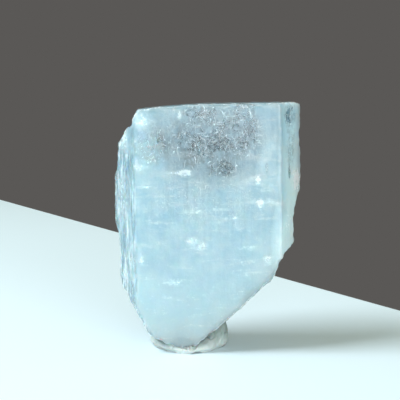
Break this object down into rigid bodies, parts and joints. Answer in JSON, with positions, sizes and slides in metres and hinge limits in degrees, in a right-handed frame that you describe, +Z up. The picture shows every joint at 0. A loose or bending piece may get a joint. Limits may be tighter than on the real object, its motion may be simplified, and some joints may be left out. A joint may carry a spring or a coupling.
{
  "type": "aquamarine crystal specimen",
  "caption": "Pale blue six-sided beryl crystal with a flat end face and a broken lower end, standing upright in a dab of white mounting putty.",
  "frame": {"origin": "middle of the putty's flat underside, on the shelf", "axes": "+Z up, along the crystal's long axis within 2 degrees; +X across its broad faces; the crystal's front face looks along -Y"},
  "size_m": [0.023, 0.0104, 0.0305],
  "materials": {
    "beryl": "clear to milky pale blue beryl: satin striated prism faces, glassy fractures",
    "putty": "matte white mineral tack, pressed by hand"
  },
  "bodies": {
    "root": {"aquamarine_crystal": "beryl", "mounting_putty": "putty"}
  },
  "joints": []
}
